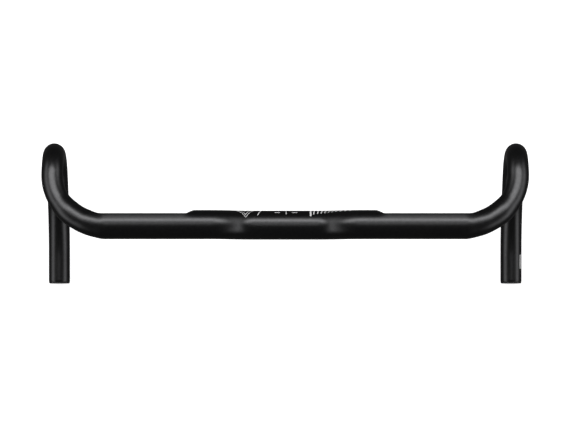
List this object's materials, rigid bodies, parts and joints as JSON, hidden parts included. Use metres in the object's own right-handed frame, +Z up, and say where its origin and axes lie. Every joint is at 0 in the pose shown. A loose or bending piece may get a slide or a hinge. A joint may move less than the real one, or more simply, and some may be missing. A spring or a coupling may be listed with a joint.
{
  "type": "drop handlebar",
  "caption": "Drop handlebar with raised channelled tops, a round stem clamp zone, shallow hooks, level drops and expanding end plugs.",
  "frame": {"origin": "centre of the stem clamp zone, on the axis of the tube", "axes": "+X to the rider's right along the clamp zone, +Y forward, +Z up; the drops are level"},
  "size_m": [0.5341, 0.1566, 0.1516],
  "materials": {
    "anodised_tube": "satin black over fine-blasted alloy, softly glossy",
    "label": "printed matte film with dark bars",
    "cap_plastic": "fine moulded texture",
    "sleeve_plastic": "moulded nylon, slightly shiny",
    "band_rubber": "matte rubber",
    "nut_alloy": "turned, bare",
    "screw_steel": "black oxide"
  },
  "bodies": {
    "bar": {"handlebar_tube": "anodised_tube", "size_label": "label"},
    "left_plug": {"left_end_cap": "cap_plastic", "left_expander_sleeve": "sleeve_plastic", "left_sleeve_band": "band_rubber"},
    "left_screw": {"left_plug_screw": "screw_steel"},
    "left_nut": {"left_cone_nut": "nut_alloy"},
    "right_plug": {"right_end_cap": "cap_plastic", "right_expander_sleeve": "sleeve_plastic", "right_sleeve_band": "band_rubber"},
    "right_screw": {"right_plug_screw": "screw_steel"},
    "right_nut": {"right_cone_nut": "nut_alloy"}
  },
  "joints": [
    {"name": "left_plug_pull", "type": "slide", "parent": "bar", "child": "left_plug", "axis": [0, -1, 0], "range_m": [0, 0.05]},
    {"name": "left_screw_turn", "type": "hinge", "parent": "left_plug", "child": "left_screw", "pos_m": [-0.2551, -0.0642, -0.10864], "axis": [0, -1, 0], "range_deg": [0, 1440]},
    {"name": "left_nut_travel", "type": "slide", "parent": "left_plug", "child": "left_nut", "axis": [0, 1, 0], "range_m": [0, 0.0032]},
    {"name": "right_plug_pull", "type": "slide", "parent": "bar", "child": "right_plug", "axis": [0, -1, 0], "range_m": [0, 0.05]},
    {"name": "right_screw_turn", "type": "hinge", "parent": "right_plug", "child": "right_screw", "pos_m": [0.2551, -0.0642, -0.10864], "axis": [0, -1, 0], "range_deg": [0, 1440]},
    {"name": "right_nut_travel", "type": "slide", "parent": "right_plug", "child": "right_nut", "axis": [0, 1, 0], "range_m": [0, 0.0032]}
  ],
  "couplings": [
    {"joint": "left_screw_turn", "follows": "left_nut_travel", "rad_per_m": 7854},
    {"joint": "right_screw_turn", "follows": "right_nut_travel", "rad_per_m": 7854}
  ]
}
